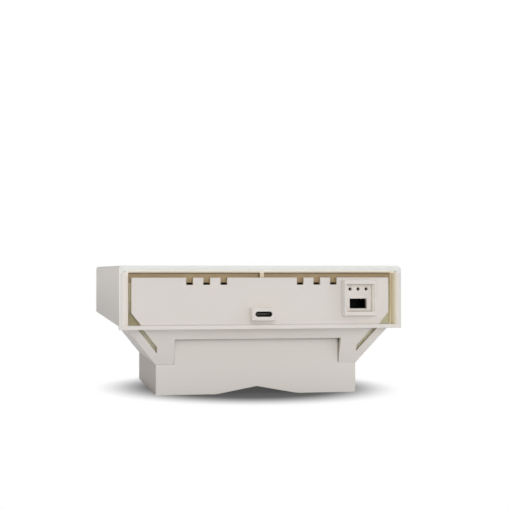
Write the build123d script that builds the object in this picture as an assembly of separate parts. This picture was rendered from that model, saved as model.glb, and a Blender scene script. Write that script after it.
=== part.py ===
from build123d import *
import os

# Outdoor temperature sensor in a double-wall sun shield, lying on its pole saddle.
# X is the width, -Y the end that faces down in use, +Z points away from the pole.
# All sizes are in millimetres. The origin is under the middle of the whole object, on its feet.

# Sun shield, the outer cover
shield_width = 140.0
shield_length = 220.0
shield_height = 30.9
shield_wall = 2.8
shield_edge_radius = 1.8
rim_side = 4.6
rim_top = 3.4
rim_depth = 6.0
rim_side_chamfer = 2.4
rim_top_chamfer = 0.9
bar_height = 2.0
bar_depth = 1.6
skirt_lift = 1.7
roof_rib_width = 2.0
roof_rib_inset = 2.5
side_rib_width = 2.4
side_rib_gap = 0.3
side_rib_count = 3

# Inner housing, a tray and a lid with a six-sided section
case_side_gap = 3.2
case_end_gap = 26.4
case_wall = 2.5
case_floor = 2.0
case_shoulder_height = 6.1
case_slope_share = 0.783
roof_gap = 5.8
collar_depth = 2.0
collar_clearance = 0.3
lid_corner_radius = 1.3
lid_web_thickness = 3.0
lid_lip = 2.0
lid_lip_wall = 1.6
lid_clearance = 0.2

# Front panel
panel_thickness = 3.0
panel_gap = 0.2
notch_width = 3.3
notch_depth = 3.5
notch_pitch = 8.4
notch_frame_gap = 2.8
notch_group_size = 3
frame_width = 16.7
frame_height = 17.7
frame_proud = 4.5
frame_from_side = 15.4
frame_rise = 1.5
frame_side_wall = 1.25
frame_end_wall = 2.1
window_depth = 5.0
frame_edge_radius = 0.5
front_edge_chamfer = 0.3
pad_side_wall = 1.73
pad_end_wall = 1.92
pad_rise = 7.3
pad_front_wall = 0.8
snap_width = 10.0
snap_thickness = 1.2
snap_length = 12.0
snap_hook = 1.2
snap_hook_length = 3.0
snap_clearance = 0.3
snap_offset_x = 30.0

# Sampling module and its face
face_thickness = 2.6
face_clearance = 0.1
sample_hole_diameter = 1.6
sample_hole_pitch = 4.1
sample_hole_count = 3
sample_hole_rise = 4.3
port_width = 8.7
port_height = 4.9
port_drop = 2.9
module_width = 18.0
module_length = 42.0
module_port_depth = 10.0
module_duct_depth = 6.0
module_duct_height = 3.0
module_duct_margin = 1.4

# Boards and what they carry
board_thickness = 1.6
board_side_gap = 2.8
board_end_gap = 66.0
board_front_gap = 0.6
board_standoff_diameter = 6.0
board_screw_inset = 6.0
board_screw_setback = 54.0
board_corner_radius = 2.0
usb_over_board = 0.2
usb_slot_width = 8.34
usb_slot_height = 2.56
usb_shell_wall = 0.3
usb_shell_length = 10.5
usb_shell_clearance = 0.1
usb_cutout_clearance = 0.3
usb_base_thickness = 1.5
usb_tongue_width = 6.7
usb_tongue_thickness = 0.7
usb_tongue_recess = 0.9
radio_width = 18.0
radio_length = 25.5
radio_board_thickness = 0.8
radio_can_height = 2.4
radio_can_length = 17.6
radio_can_inset = 0.8
radio_can_radius = 0.4
radio_from_side = 20.0
radio_from_end = 28.0
antenna_length = 30.0
antenna_strip = 4.0
antenna_sheet = 0.5
antenna_height = 7.0
antenna_leg_width = 2.0
antenna_leg_shares = (-0.5, -0.2)
antenna_from_side = 26.0
antenna_from_end = 16.0
chip_side = 10.0
chip_height = 1.4
chip_offset_x = -8.0
chip_offset_y = 62.0
regulator_width = 6.5
regulator_length = 6.1
regulator_height = 2.3
regulator_offset_x = 16.0
regulator_offset_y = 32.0
inductor_side = 7.3
inductor_height = 4.0
inductor_corner = 1.5
inductor_offset_x = 16.0
inductor_offset_y = 46.0
capacitor_diameter = 6.3
capacitor_height = 7.7
capacitor_base = 6.6
capacitor_base_height = 0.9
capacitor_groove = 0.3
capacitor_groove_lift = 0.6
capacitor_pitch = 9.5
capacitor_count = 3
capacitor_offset_x = -5.0
capacitor_offset_y = 32.0
module_header_width = 10.0
module_header_length = 4.0
module_header_height = 1.5
sensor_board_width = 34.0
sensor_board_top_gap = 3.0
sensor_board_thickness = 1.0
sensor_board_setback = 9.0
sensor_header_width = 12.0
sensor_header_length = 2.6
sensor_header_height = 2.5
element_side = 2.6
element_height = 1.0
element_window = 1.2
element_window_depth = 0.4

# Back shell, between the shield and the pole saddle
plate_thickness = 2.0
plate_clearance = 0.3
surround_setback = 8.5
saddle_setback = 16.5
trough_length = 95.5
trough_height = 18.0
flare_side_gap = 4.5
flare_slope_share = 0.8056
flare_wall = 4.0
trough_end_wall = 3.5
surround_wall = 3.2
trough_floor = 5.8
slit_width = 1.9
slit_depth = 2.2
slit_bottom_above_floor = 0.2
lug_width = 9.0
lug_thickness = 1.6
lug_gap = 0.1
lug_spacing = 84.0
vent_length = 12.0
vent_from_end = 9.0

# Pole saddle
saddle_height = 15.1
saddle_side_inset = 0.05
groove_half_width = 20.4
groove_mouth_radius = 20.4
groove_depth = 3.8
tongue_side_inset = 9.05
tongue_drop = 5.3
tongue_clearance = 0.2
saddle_wall = 4.0
saddle_floor = 8.4
saddle_rib = 3.0
saddle_rib_count = 3
saddle_edge_radius = 0.6

# Fasteners
screw_diameter = 3.0
screw_head_diameter = 5.6
screw_head_height = 2.2
screw_head_chamfer_share = 0.3
screw_recess_diameter = 2.4
screw_recess_depth = 1.2
screw_hole_clearance = 0.2
boss_diameter = 8.0
small_screw_diameter = 2.5
small_head_diameter = 4.6
small_head_height = 1.7
small_recess_diameter = 1.8
small_recess_depth = 0.9
small_boss_diameter = 6.0
board_screw_length = 4.0
lid_screw_length = 8.0
lid_screw_setback = 54.0
case_screw_length = 5.5
case_boss_height = 6.0
case_screw_inset_x = 20.0
case_screw_from_end = 12.0
case_screw_spacing = 42.0
shield_screw_length = 12.0
shield_screw_count = 3
shield_post_from_side = 15.2
shield_post_from_end = 17.0
shield_post_diameter = 8.0
saddle_screw_length = 16.0
saddle_screw_inset = 4.6
saddle_screw_from_ends = 14.0
saddle_counterbore_depth = 9.0
saddle_tower_height = 9.0
counterbore_clearance = 0.5
insert_outer_diameter = 7.0
insert_bore_diameter = 4.5
insert_length = 9.0
insert_boss_diameter = 11.0
insert_boss_height = 12.0
bolt_passage_diameter = 5.2
insert_from_side = 15.95
insert_spacing_y = 60.0
cut_overrun = 1.0

# Heights that follow from the sizes above
shield_bottom_z = saddle_height + trough_height
shield_top_z = shield_bottom_z + shield_height
inner_roof_z = shield_top_z - shield_wall
mouth_top_z = shield_top_z - rim_top
bar_top_z = shield_bottom_z + bar_height
plate_top_z = shield_bottom_z + plate_thickness
case_top_z = shield_top_z - roof_gap
case_bottom_z = plate_top_z
shoulder_z = case_bottom_z + case_shoulder_height
lid_bottom_z = case_top_z - case_wall
tray_floor_z = case_bottom_z + case_floor
pad_center_z = shield_bottom_z + pad_rise
board_top_z = pad_center_z - usb_over_board
board_bottom_z = board_top_z - board_thickness
frame_center_z = (case_top_z + case_bottom_z) / 2 + frame_rise
module_bottom_z = board_top_z + module_header_height
module_top_z = lid_bottom_z - lid_clearance
sensor_board_height = lid_bottom_z - board_top_z - sensor_board_top_gap
trough_floor_z = saddle_height + trough_floor
tongue_top_z = shield_bottom_z - tongue_drop

# Places along Y that follow from the sizes above
panel_setback = bar_depth + panel_gap
nose = frame_proud - panel_setback
rim_y = (nose - shield_length) / 2
shield_end_y = rim_y + shield_length
panel_front_y = rim_y + panel_setback
frame_front_y = panel_front_y - frame_proud
case_front_y = panel_front_y + panel_thickness
case_end_y = shield_end_y - shield_wall - case_end_gap
case_length = case_end_y - case_front_y
board_length = case_length - board_end_gap
board_front_y = case_front_y + board_front_gap
board_end_y = board_front_y + board_length
radio_offset_y = board_length - radio_from_end
antenna_offset_y = board_length - antenna_from_end
trough_front_y = rim_y + surround_setback
saddle_front_y = rim_y + saddle_setback
saddle_end_y = saddle_front_y + trough_length
saddle_middle_y = (saddle_front_y + saddle_end_y) / 2
surround_lean = (saddle_setback - surround_setback) / trough_height
module_front_y = frame_front_y + window_depth + face_thickness
usb_front_y = frame_front_y + pad_front_wall

# Widths that follow from the sizes above
inner_half_width = shield_width / 2 - shield_wall
mouth_half_width = shield_width / 2 - rim_side
case_width = 2 * (inner_half_width - case_side_gap)
case_bottom_half = case_width / 2 - case_shoulder_height * case_slope_share
frame_offset_x = case_width / 2 - frame_from_side
window_width = frame_width - 2 * frame_side_wall
window_height = frame_height - 2 * frame_end_wall
pad_width = usb_slot_width + 2 * pad_side_wall
pad_height = usb_slot_height + 2 * pad_end_wall
notch_group_width = (notch_group_size - 1) * notch_pitch + notch_width
notch_group_offset = frame_offset_x - frame_width / 2 - notch_frame_gap - notch_group_width / 2
flare_top_width = shield_width - 2 * flare_side_gap
flare_bottom_width = flare_top_width - 2 * flare_slope_share * trough_height
saddle_width = flare_bottom_width - 2 * saddle_side_inset
tongue_width = saddle_width - 2 * tongue_side_inset
insert_spacing_x = saddle_width - 2 * insert_from_side


def block(x_low, x_high, y_low, y_high, z_low, z_high):
    """Box between two corners."""
    size = (x_high - x_low, y_high - y_low, z_high - z_low)
    middle = ((x_low + x_high) / 2, (y_low + y_high) / 2, (z_low + z_high) / 2)
    return Pos(*middle) * Box(*size)


def section_xz(points, y_low, y_high):
    """Outline in X and Z, drawn out along Y."""
    plane = Plane(origin=(0, y_low, 0), x_dir=(1, 0, 0), z_dir=(0, -1, 0))
    return extrude(plane * Polygon(*points, align=None), amount=y_high - y_low, dir=(0, 1, 0))


def section_yz(points, half_width):
    """Outline in Y and Z, drawn out both ways along X."""
    return extrude(Plane.YZ * Polygon(*points, align=None), amount=half_width, both=True)


def rod(x, y, z_low, z_high, diameter):
    """Upright cylinder between two heights."""
    return Pos(x, y, (z_low + z_high) / 2) * Cylinder(diameter / 2, z_high - z_low)


def rod_y(x, z, y_low, y_high, diameter):
    """Cylinder along Y between two places."""
    return Pos(x, (y_low + y_high) / 2, z) * Rot(90, 0, 0) * Cylinder(diameter / 2, y_high - y_low)


def slot_y(x, z, y_low, y_high, width, height):
    """Prism along Y with a round-ended flat section."""
    plane = Plane(origin=(x, y_low, z), x_dir=(1, 0, 0), z_dir=(0, -1, 0))
    return extrude(plane * SlotOverall(width, height), amount=y_high - y_low, dir=(0, 1, 0))


def screw_up(x, y, head_z, length, shank, head, head_height, recess, recess_depth):
    """Pan head screw that points up, with its head under head_z and a drive recess in the head."""
    body = rod(x, y, head_z, head_z + length, shank)
    cap = rod(x, y, head_z - head_height, head_z, head)
    cap = chamfer(cap.edges().group_by(Axis.Z)[0], head_height * screw_head_chamfer_share)
    drive = Pos(x, y, head_z - head_height + recess_depth / 2) * extrude(
        RegularPolygon(recess / 2, 6), amount=recess_depth / 2, both=True)
    return body + cap - drive


def screw_down(x, y, head_z, length, shank, head, head_height, recess, recess_depth):
    """The same screw pointing down, with its head on head_z."""
    upright = screw_up(0, 0, 0, length, shank, head, head_height, recess, recess_depth)
    return Pos(x, y, head_z) * Rot(180, 0, 0) * upright


def case_outline(width, top_z, bottom_z, inset=0.0):
    """Six-sided outline of the inner housing, or of its hollow when inset by a wall."""
    half = width / 2 - inset
    corner_z = shoulder_z + inset * ((1 + case_slope_share ** 2) ** 0.5 - 1) / case_slope_share
    foot = half - (corner_z - bottom_z) * case_slope_share
    return [(-half, top_z), (half, top_z), (half, corner_z), (foot, bottom_z),
            (-foot, bottom_z), (-half, corner_z)]


tray_half_at_board = case_outline(case_width, lid_bottom_z, board_bottom_z, case_wall)[3][0]
board_width = 2 * (tray_half_at_board - board_side_gap)
radio_offset_x = radio_from_side - board_width / 2
antenna_offset_x = board_width / 2 - antenna_from_side


def vent_places():
    """Middles in X of the six vents: two groups, evenly pitched, one each side of the middle."""
    steps = [(i - (notch_group_size - 1) / 2) * notch_pitch for i in range(notch_group_size)]
    return [side * notch_group_offset + step for side in (-1, 1) for step in steps]


def make_sun_shield():
    """Cover with a roof, two sides and an end wall, open underneath, with a stiff rim at its mouth."""
    half = shield_width / 2
    cover = block(-half, half, rim_y, shield_end_y, shield_bottom_z, shield_top_z)
    roof_edges = cover.edges().group_by(Axis.Z)[-1]
    back_corners = cover.edges().filter_by(Axis.Z).group_by(Axis.Y)[-1]
    cover = fillet(roof_edges + back_corners, shield_edge_radius)

    below = shield_bottom_z - cut_overrun
    rim_end = rim_y + rim_depth
    cover -= block(-inner_half_width, inner_half_width, rim_end, shield_end_y - shield_wall,
                   below, inner_roof_z)
    cover -= block(-mouth_half_width, mouth_half_width, rim_y - cut_overrun, rim_end, bar_top_z, mouth_top_z)
    cover -= block(-mouth_half_width, mouth_half_width, rim_y + bar_depth, rim_end, below, bar_top_z)
    cover -= block(-half - cut_overrun, half + cut_overrun, rim_y + bar_depth, shield_end_y + cut_overrun,
                   below, shield_bottom_z + skirt_lift)

    bevel = []
    for y, wider, higher in ((rim_y, rim_side_chamfer, rim_top_chamfer), (rim_y + rim_side_chamfer, 0, 0)):
        plane = Plane(origin=(0, y, 0), x_dir=(1, 0, 0), z_dir=(0, -1, 0))
        wide = mouth_half_width + wider
        high = mouth_top_z + higher
        corners = [(-wide, bar_top_z), (wide, bar_top_z), (wide, high), (-wide, high)]
        bevel.append(plane * Polygon(*corners, align=None))
    cover -= loft(Sketch() + bevel)

    rooted = inner_roof_z + shield_wall / 2
    cover += block(-roof_rib_width / 2, roof_rib_width / 2, rim_y + roof_rib_inset,
                   shield_end_y - shield_wall, case_top_z, rooted)
    rib_reach = case_width / 2 + side_rib_gap
    rib_pitch = case_length / side_rib_count
    for index in range(side_rib_count):
        y = case_front_y + (index + 1 / 2) * rib_pitch
        for side in (-1, 1):
            near, far = sorted((side * rib_reach, side * (inner_half_width + shield_wall / 2)))
            cover += block(near, far, y - side_rib_width / 2, y + side_rib_width / 2, shoulder_z, rooted)
    for x in shield_post_places():
        y = shield_end_y - shield_post_from_end
        post = rod(x, y, plate_top_z, rooted, shield_post_diameter)
        pilot = rod(x, y, plate_top_z - cut_overrun, plate_top_z + shield_screw_length, screw_diameter)
        cover = cover + post - pilot
    return cover


def shield_post_places():
    """Middles in X of the posts that the shield's screws go into."""
    outermost = inner_half_width - shield_post_from_side
    steps = shield_screw_count - 1
    return [outermost * (2 * index / steps - 1) for index in range(shield_screw_count)]


def case_screw_places():
    """Middles of the screws that hold the inner housing on the back shell."""
    last_y = case_end_y - case_screw_from_end
    half = case_bottom_half - case_screw_inset_x
    return [(x, y) for x in (-half, half) for y in (last_y, last_y - case_screw_spacing)]


def board_screw_places():
    """Middles of the main board's four screws."""
    half = board_width / 2 - board_screw_inset
    return [(x, y) for x in (-half, half)
            for y in (board_front_y + board_screw_setback, board_end_y - board_screw_inset)]


def lid_screw_places():
    """Middles of the lid's four screws, near the corners of the inner housing."""
    half = case_width / 2 - case_wall - small_boss_diameter / 2
    front = case_front_y + lid_screw_setback
    back = case_end_y - case_wall - small_boss_diameter / 2
    return [(x, y) for x in (-half, half) for y in (front, back)]


def make_case_tray():
    """Six-sided trough, open on top and at the front, with a collar at its mouth that fills the shield's."""
    outer = section_xz(case_outline(case_width, lid_bottom_z, case_bottom_z), case_front_y, case_end_y)
    collar_half = mouth_half_width - collar_clearance
    outer += block(-collar_half, collar_half, case_front_y, case_front_y + collar_depth,
                   case_bottom_z, lid_bottom_z)
    hollow = section_xz(case_outline(case_width, lid_bottom_z + cut_overrun, tray_floor_z, case_wall),
                        case_front_y - cut_overrun, case_end_y - case_wall)
    tray = outer - hollow
    for x, y in board_screw_places():
        tray += rod(x, y, tray_floor_z, board_bottom_z, board_standoff_diameter)
        tray -= rod(x, y, board_top_z - board_screw_length, board_top_z, small_screw_diameter)
    for x, y in case_screw_places():
        tray += rod(x, y, tray_floor_z, tray_floor_z + case_boss_height, boss_diameter)
        tray -= rod(x, y, case_bottom_z - cut_overrun, case_bottom_z + case_screw_length, screw_diameter)
    for x, y in lid_screw_places():
        pillar = rod(x, y, shoulder_z, lid_bottom_z, small_boss_diameter)
        side = 1 if x > 0 else -1
        web_low, web_high = sorted((x, side * (case_width / 2 - case_wall / 2)))
        web = block(web_low, web_high, y - lid_web_thickness / 2, y + lid_web_thickness / 2,
                    shoulder_z, lid_bottom_z)
        tray += pillar + web
        tray -= rod(x, y, lid_bottom_z - lid_screw_length, lid_bottom_z + cut_overrun, small_screw_diameter)
    for hook in snap_hooks(snap_clearance):
        tray -= hook
    return tray


def make_case_lid():
    """Flat lid with a locating lip inside the tray's walls, and the top of the collar at its front."""
    half = case_width / 2
    lid = block(-half, half, case_front_y, case_end_y, lid_bottom_z, case_top_z)
    back_corners = lid.edges().filter_by(Axis.Z).group_by(Axis.Y)[-1]
    lid = fillet(back_corners, lid_corner_radius)
    collar_half = mouth_half_width - collar_clearance
    collar_end = case_front_y + collar_depth
    lid += block(-collar_half, collar_half, case_front_y, collar_end,
                 lid_bottom_z, mouth_top_z - collar_clearance)
    rib_half = roof_rib_width / 2 + collar_clearance
    lid -= block(-rib_half, rib_half, case_front_y - cut_overrun, collar_end + cut_overrun,
                 case_top_z, mouth_top_z)
    lip_half = half - case_wall - lid_clearance
    lip_front = board_front_y + snap_length + snap_clearance
    lip_back = case_end_y - case_wall - lid_clearance
    lip = block(-lip_half, lip_half, lip_front, lip_back, lid_bottom_z - lid_lip, lid_bottom_z)
    lip -= block(-lip_half + lid_lip_wall, lip_half - lid_lip_wall, lip_front - cut_overrun,
                 lip_back - lid_lip_wall, lid_bottom_z - lid_lip - cut_overrun, lid_bottom_z)
    for x, y in lid_screw_places():
        reach = small_boss_diameter + lid_clearance
        lip -= block(x - reach, x + reach, y - reach, y + reach,
                     lid_bottom_z - lid_lip - cut_overrun, lid_bottom_z)
    lid += lip
    for x, y in lid_screw_places():
        hole = small_screw_diameter + 2 * screw_hole_clearance
        head = small_head_diameter + counterbore_clearance
        lid -= rod(x, y, lid_bottom_z - cut_overrun, case_top_z + cut_overrun, hole)
        lid -= rod(x, y, case_top_z - small_head_height, case_top_z + cut_overrun, head)
    return lid


def snap_places():
    """Each snap's middle in X, with the height of the tray's floor that it lies on."""
    return [(x, tray_floor_z) for x in (-snap_offset_x, snap_offset_x)]


def snap_hooks(extra):
    """Hooks of the panel's floor snaps, enlarged by a clearance to cut their windows."""
    hooks = []
    hook_end = case_front_y + snap_length
    for x, z in snap_places():
        hooks.append(block(x - snap_width / 2 - extra, x + snap_width / 2 + extra,
                           hook_end - snap_hook_length - extra, hook_end + extra,
                           z - snap_hook - extra, z + snap_clearance))
    return hooks


def make_front_panel():
    """End panel with vent notches, a square frame round its window, the USB pad and two snaps."""
    panel_end = panel_front_y + panel_thickness
    panel = section_xz(case_outline(case_width, case_top_z, case_bottom_z), panel_front_y, panel_end)
    for x in vent_places():
        panel -= block(x - notch_width / 2, x + notch_width / 2, panel_front_y - cut_overrun,
                       panel_end + cut_overrun, case_top_z - notch_depth, case_top_z + cut_overrun)

    frame_side = frame_offset_x - frame_width / 2
    frame = block(frame_side, frame_side + frame_width, frame_front_y, panel_end,
                  frame_center_z - frame_height / 2, frame_center_z + frame_height / 2)
    pad = block(-pad_width / 2, pad_width / 2, frame_front_y, panel_end,
                pad_center_z - pad_height / 2, pad_center_z + pad_height / 2)
    for raised in (frame, pad):
        raised = fillet(raised.edges().filter_by(Axis.Y), frame_edge_radius)
        panel += chamfer(raised.edges().group_by(Axis.Y)[0], front_edge_chamfer)

    panel -= block(frame_offset_x - window_width / 2, frame_offset_x + window_width / 2,
                   frame_front_y - cut_overrun, panel_end + cut_overrun,
                   frame_center_z - window_height / 2, frame_center_z + window_height / 2)
    panel -= slot_y(0, pad_center_z, frame_front_y - cut_overrun, panel_end, usb_slot_width, usb_slot_height)
    shell_extra = 2 * (usb_shell_wall + usb_shell_clearance)
    panel -= slot_y(0, pad_center_z, usb_front_y, panel_end + cut_overrun,
                    usb_slot_width + shell_extra, usb_slot_height + shell_extra)

    hook_end = case_front_y + snap_length
    for x, z in snap_places():
        panel += block(x - snap_width / 2, x + snap_width / 2, panel_end, hook_end,
                       z + snap_clearance / 2, z + snap_clearance / 2 + snap_thickness)
        panel += block(x - snap_width / 2, x + snap_width / 2, hook_end - snap_hook_length, hook_end,
                       z - snap_hook, z + snap_clearance)
    return panel


def port_prism(y_low, y_high):
    """Space of the rectangular port."""
    z = frame_center_z - port_drop
    return block(frame_offset_x - port_width / 2, frame_offset_x + port_width / 2, y_low, y_high,
                 z - port_height / 2, z + port_height / 2)


def make_module_face():
    """Plate at the bottom of the square frame, with a row of holes over the port."""
    front = frame_front_y + window_depth
    half = window_width / 2 - face_clearance
    half_height = window_height / 2 - face_clearance
    face = block(frame_offset_x - half, frame_offset_x + half, front, front + face_thickness,
                 frame_center_z - half_height, frame_center_z + half_height)
    for index in range(sample_hole_count):
        x = frame_offset_x + (index - (sample_hole_count - 1) / 2) * sample_hole_pitch
        face -= rod_y(x, frame_center_z + sample_hole_rise, front - cut_overrun,
                      front + face_thickness + cut_overrun, sample_hole_diameter)
    return face - port_prism(front - cut_overrun, front + face_thickness + cut_overrun)


def make_sampling_module():
    """Sealed module behind the face, with its air duct and port going in from the front."""
    half = module_width / 2
    module = block(frame_offset_x - half, frame_offset_x + half, module_front_y,
                   module_front_y + module_length, module_bottom_z, module_top_z)
    module = fillet(module.edges().filter_by(Axis.Y), frame_edge_radius)
    duct_half = sample_hole_pitch * (sample_hole_count - 1) / 2 + module_duct_margin
    duct_z = frame_center_z + sample_hole_rise
    module -= block(frame_offset_x - duct_half, frame_offset_x + duct_half, module_front_y - cut_overrun,
                    module_front_y + module_duct_depth, duct_z - module_duct_height / 2,
                    duct_z + module_duct_height / 2)
    return module - port_prism(module_front_y - cut_overrun, module_front_y + module_port_depth)


def saddle_screw_places():
    """Middles of the screws that hold the saddle on the back shell."""
    half = saddle_width / 2 - saddle_screw_inset
    return [(x, y) for x in (-half, half)
            for y in (saddle_front_y + saddle_screw_from_ends, saddle_end_y - saddle_screw_from_ends)]


def insert_places():
    """Middles of the threaded inserts for the clamp bolts."""
    return [(side * insert_spacing_x / 2, saddle_middle_y + end * insert_spacing_y / 2)
            for side in (-1, 1) for end in (-1, 1)]


def make_back_shell():
    """Plate under the inner housing with a hollow trough that narrows down to the saddle.

    The trough's front slants back and has a blind slit beside each flare, and the saddle's tongue
    closes its floor.
    """
    half_top = flare_top_width / 2
    half_low = flare_bottom_width / 2
    top = shield_bottom_z
    outside = section_xz([(-half_top, top), (half_top, top), (half_low, saddle_height),
                          (-half_low, saddle_height)], trough_front_y, saddle_end_y)
    outside &= section_yz([(trough_front_y, top), (saddle_front_y, saddle_height),
                           (saddle_end_y, saddle_height), (saddle_end_y, top)], half_top)
    plate_half = inner_half_width - plate_clearance
    plate_end = shield_end_y - shield_wall - plate_clearance
    plate = block(-plate_half, plate_half, trough_front_y, plate_end, top, plate_top_z)

    flare_stretch = (1 + flare_slope_share ** 2) ** 0.5
    in_top = half_top - flare_wall * flare_stretch
    in_low = half_low + trough_floor * flare_slope_share - flare_wall * flare_stretch
    above = plate_top_z + cut_overrun
    hollow = section_xz([(-in_top, above), (in_top, above), (in_top, top), (in_low, trough_floor_z),
                         (-in_low, trough_floor_z), (-in_top, top)], trough_front_y, saddle_end_y)
    surround_stretch = (1 + surround_lean ** 2) ** 0.5
    surround_inset = surround_wall * surround_stretch
    front_low = trough_front_y + (top - trough_floor_z) * surround_lean + surround_inset
    back = saddle_end_y - trough_end_wall
    hollow &= section_yz([(trough_front_y + surround_inset, above), (trough_front_y + surround_inset, top),
                          (front_low, trough_floor_z), (back, trough_floor_z), (back, above)], half_top)
    shell = outside + plate - hollow

    slit_across = slit_width * flare_stretch
    slit_inset = slit_depth * surround_stretch
    slit_turn_z = top - (in_top - slit_across - in_low) / flare_slope_share
    slit_low_z = trough_floor_z + slit_bottom_above_floor
    slit_low_x = in_low + slit_bottom_above_floor * flare_slope_share
    before = trough_front_y - cut_overrun
    reach = section_yz([(before, top), (trough_front_y + slit_inset, top),
                        (saddle_front_y + slit_inset, saddle_height), (before, saddle_height)], half_top)
    for side in (-1, 1):
        outline = [(side * in_top, top), (side * (in_top - slit_across), top), (side * in_low, slit_turn_z),
                   (side * in_low, slit_low_z), (side * slit_low_x, slit_low_z)]
        shell -= section_xz(outline, before, saddle_front_y + slit_inset) & reach

    for x, y in saddle_screw_places():
        shell += rod(x, y, saddle_height, trough_floor_z + saddle_tower_height, boss_diameter)
        shell -= rod(x, y, saddle_height - cut_overrun,
                     saddle_counterbore_depth + saddle_screw_length, screw_diameter)
    opening_half = tongue_width / 2
    shell -= block(-opening_half, opening_half, before, back, saddle_height - cut_overrun, tongue_top_z)

    lug_low = rim_y + bar_depth + lug_gap
    for side in (-1, 1):
        x = side * lug_spacing / 2
        shell += block(x - lug_width / 2, x + lug_width / 2, lug_low, trough_front_y + surround_wall,
                       top, top + lug_thickness)
    vent_high = shield_end_y - vent_from_end
    for x in vent_places():
        shell -= slot_z(x, vent_high - vent_length / 2, top - cut_overrun, above, notch_width, vent_length)
    hole = screw_diameter + 2 * screw_hole_clearance
    for x in shield_post_places():
        shell -= rod(x, shield_end_y - shield_post_from_end, top - cut_overrun, above, hole)
    for x, y in case_screw_places():
        shell -= rod(x, y, top - cut_overrun, above, hole)
    return shell


def slot_z(x, y, z_low, z_high, width, length):
    """Upright prism with a round-ended section, long in Y."""
    return Pos(x, y, z_low) * extrude(Rot(0, 0, 90) * SlotOverall(length, width), amount=z_high - z_low)


def make_pole_saddle():
    """Block with a shallow V groove underneath, a tongue on top and a ribbed pocket inside."""
    half = saddle_width / 2
    outline = [(-half, 0), (-groove_half_width, 0), (0, groove_depth), (groove_half_width, 0), (half, 0),
               (half, saddle_height), (-half, saddle_height)]
    saddle = section_xz(outline, saddle_front_y, saddle_end_y)
    along = saddle.edges().filter_by(Axis.Y)
    mouths = [edge for edge in along if abs(abs(edge.center().X) - groove_half_width) < saddle_wall
              and edge.center().Z < groove_depth / 2]
    saddle = fillet(mouths, groove_mouth_radius)
    saddle = fillet(saddle.edges().filter_by(Axis.Z), saddle_edge_radius)

    tongue_half = tongue_width / 2 - tongue_clearance
    tongue_end = saddle_end_y - trough_end_wall - tongue_clearance
    tongue_high = tongue_top_z - tongue_clearance
    saddle += block(-tongue_half, tongue_half, saddle_front_y, tongue_end,
                    saddle_height - saddle_wall, tongue_high)
    pocket_front = saddle_front_y + saddle_wall
    pocket_end = tongue_end - saddle_wall
    pocket_half = tongue_half - saddle_wall
    pocket = block(-pocket_half, pocket_half, pocket_front, pocket_end,
                   saddle_floor, tongue_high + cut_overrun)
    pitch = (pocket_end - pocket_front) / (saddle_rib_count + 1)
    for index in range(saddle_rib_count):
        y = pocket_front + (index + 1) * pitch
        pocket -= block(-pocket_half, pocket_half, y - saddle_rib / 2, y + saddle_rib / 2,
                        saddle_floor, tongue_high - saddle_rib)
    pocket -= block(-saddle_rib / 2, saddle_rib / 2, pocket_front, pocket_end,
                    saddle_floor, tongue_high - saddle_rib)
    saddle -= pocket

    for x, y in insert_places():
        saddle += rod(x, y, saddle_floor, insert_boss_height, insert_boss_diameter)
        saddle -= rod(x, y, -cut_overrun, insert_length, insert_outer_diameter)
        saddle -= rod(x, y, 0, insert_boss_height + cut_overrun, bolt_passage_diameter)
    for x, y in saddle_screw_places():
        saddle -= rod(x, y, -cut_overrun, saddle_counterbore_depth,
                      screw_head_diameter + counterbore_clearance)
        saddle -= rod(x, y, 0, saddle_height + cut_overrun, screw_diameter + 2 * screw_hole_clearance)
    return saddle


def make_inserts():
    """Threaded inserts, plain inside."""
    inserts = []
    for x, y in insert_places():
        sleeve = rod(x, y, 0, insert_length, insert_outer_diameter)
        inserts.append(sleeve - rod(x, y, -cut_overrun, insert_length + cut_overrun, insert_bore_diameter))
    return inserts


def make_main_board():
    """Main board with screw holes and a cut-out for the sunk USB socket."""
    half = board_width / 2
    board = block(-half, half, board_front_y, board_end_y, board_bottom_z, board_top_z)
    board = fillet(board.edges().filter_by(Axis.Z), board_corner_radius)
    cut_half = usb_slot_width / 2 + usb_shell_wall + usb_cutout_clearance
    board -= block(-cut_half, cut_half, board_front_y - cut_overrun,
                   usb_front_y + usb_shell_length + usb_cutout_clearance,
                   board_bottom_z - cut_overrun, board_top_z + cut_overrun)
    for x, y in board_screw_places():
        board -= rod(x, y, board_bottom_z - cut_overrun, board_top_z + cut_overrun,
                     small_screw_diameter + 2 * screw_hole_clearance)
    return board


def make_usb_socket():
    """Round-sided socket shell, open at both ends, with a wing each side that sits on the board."""
    width = usb_slot_width + 2 * usb_shell_wall
    height = usb_slot_height + 2 * usb_shell_wall
    end = usb_front_y + usb_shell_length
    socket = slot_y(0, pad_center_z, usb_front_y, end, width, height)
    wing_reach = width / 2 + usb_cutout_clearance + usb_base_thickness
    socket += block(-wing_reach, wing_reach, board_front_y + usb_shell_wall, end - usb_shell_wall,
                    board_top_z, board_top_z + usb_shell_wall)
    return socket - slot_y(0, pad_center_z, usb_front_y - cut_overrun, end + cut_overrun,
                           usb_slot_width, usb_slot_height)


def make_usb_tongue():
    """Moulded base that closes the socket's back, with the contact tongue in front of it."""
    end = usb_front_y + usb_shell_length
    base = slot_y(0, pad_center_z, end - usb_base_thickness, end, usb_slot_width, usb_slot_height)
    half = usb_tongue_width / 2
    return base + block(-half, half, usb_front_y + usb_tongue_recess, end,
                        pad_center_z - usb_tongue_thickness / 2, pad_center_z + usb_tongue_thickness / 2)


def on_board(x, y_from_front, width, length, height, lift=0.0):
    """Block that stands on the main board, its place given from the board's front edge."""
    y = board_front_y + y_from_front
    low = board_top_z + lift
    return block(x - width / 2, x + width / 2, y - length / 2, y + length / 2, low, low + height)


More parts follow.
